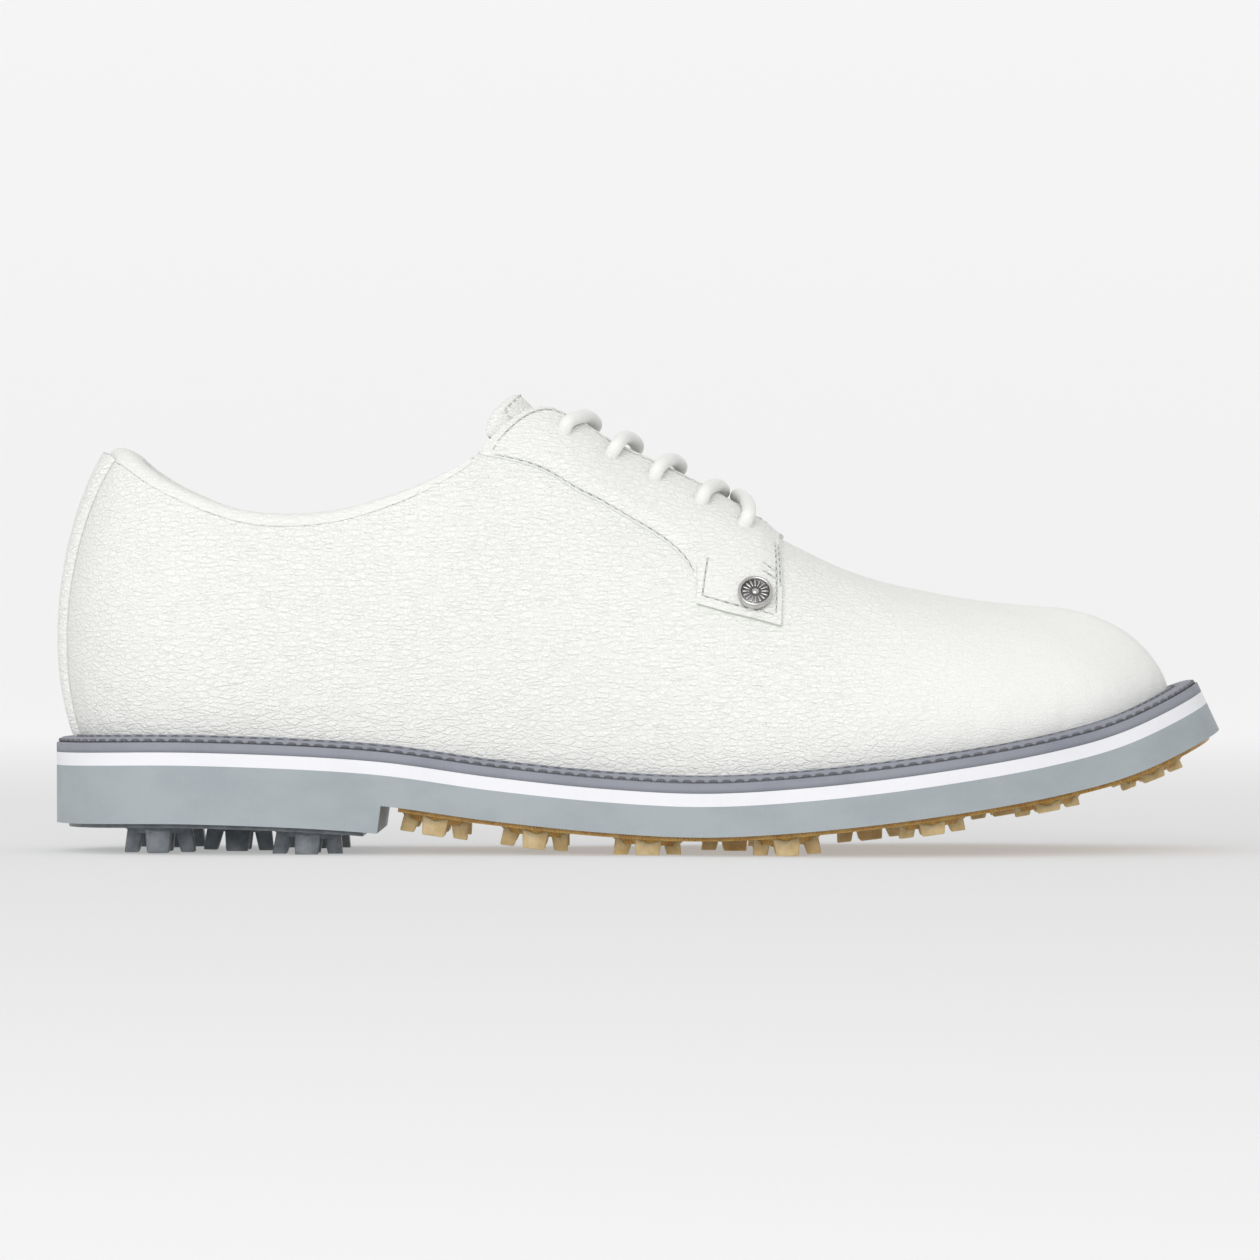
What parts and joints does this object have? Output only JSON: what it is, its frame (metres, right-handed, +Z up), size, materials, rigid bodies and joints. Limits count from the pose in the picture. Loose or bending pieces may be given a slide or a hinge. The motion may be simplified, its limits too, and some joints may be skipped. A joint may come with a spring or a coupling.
{
  "type": "golf shoe",
  "caption": "Right-foot spikeless golf shoe: white leather derby upper with round laces on a welted rubber sole with moulded lugs.",
  "frame": {"origin": "middle of the footprint's bounding box, on the ground", "axes": "+X from heel to toe, +Y towards the inner (medial) side of the right foot, +Z up"},
  "size_m": [0.3044, 0.109, 0.1215],
  "materials": {
    "leather": "full-grain white, fine tumbled pebble, semi-matt",
    "lining": "brushed textile lining, pale grey",
    "foam": "soft foam faced with cloth",
    "stiffener": "pressed fibre board",
    "metal": "polished nickel plate with darkened recess",
    "lace": "round waxed cord, white",
    "aglet": "clear film",
    "cork": "ground cork",
    "welt": "grey with two moulded channels and stitching",
    "midsole": "white moulded foam rubber",
    "outsole": "pale blue-grey, finely speckled",
    "amber": "translucent amber polyurethane",
    "smoke": "translucent smoke polyurethane",
    "sand": "translucent sand polyurethane"
  },
  "bodies": {
    "shoe": {"leather_upper": "leather", "eyestay_lateral": "leather", "eyestay_medial": "leather", "heel_strip": "leather", "collar_roll": "leather", "quarter_lining": "lining", "vamp_lining": "lining", "collar_foam": "foam", "footbed": "foam", "toe_puff": "stiffener", "heel_counter": "stiffener", "insole_board": "stiffener", "tab_badge": "metal", "badge_washer": "metal", "shank": "metal", "lace": "lace", "front_aglet": "aglet", "top_aglet": "aglet", "forefoot_filler": "cork", "welt": "welt", "midsole": "midsole", "outsole": "outsole", "forefoot_traction_plate": "amber", "heel_traction_plate": "smoke", "heel_lug_cluster_1": "smoke", "heel_lug_cluster_2": "smoke", "heel_lug_cluster_3": "smoke", "heel_lug_cluster_4": "smoke", "heel_lug_cluster_5": "smoke", "forefoot_lug_cluster_1": "sand", "forefoot_lug_cluster_2": "sand", "forefoot_lug_cluster_3": "sand", "forefoot_lug_cluster_4": "sand", "forefoot_lug_cluster_5": "sand", "forefoot_lug_cluster_6": "sand", "forefoot_lug_cluster_7": "sand", "forefoot_lug_cluster_8": "sand", "forefoot_lug_cluster_9": "sand", "forefoot_lug_cluster_10": "sand", "forefoot_lug_cluster_11": "sand", "forefoot_lug_cluster_12": "sand", "forefoot_lug_cluster_13": "sand", "forefoot_lug_cluster_14": "sand", "forefoot_lug_cluster_15": "sand", "forefoot_lug_cluster_16": "sand", "forefoot_lug_cluster_17": "sand"},
    "tongue": {"tongue_leather": "leather", "tongue_foam": "foam", "tongue_lining": "lining"}
  },
  "joints": [
    {"name": "tongue_tilt", "type": "hinge", "parent": "shoe", "child": "tongue", "pos_m": [0.0493, 0, 0.064], "axis": [0, -1, 0], "range_deg": [0, 9]}
  ]
}
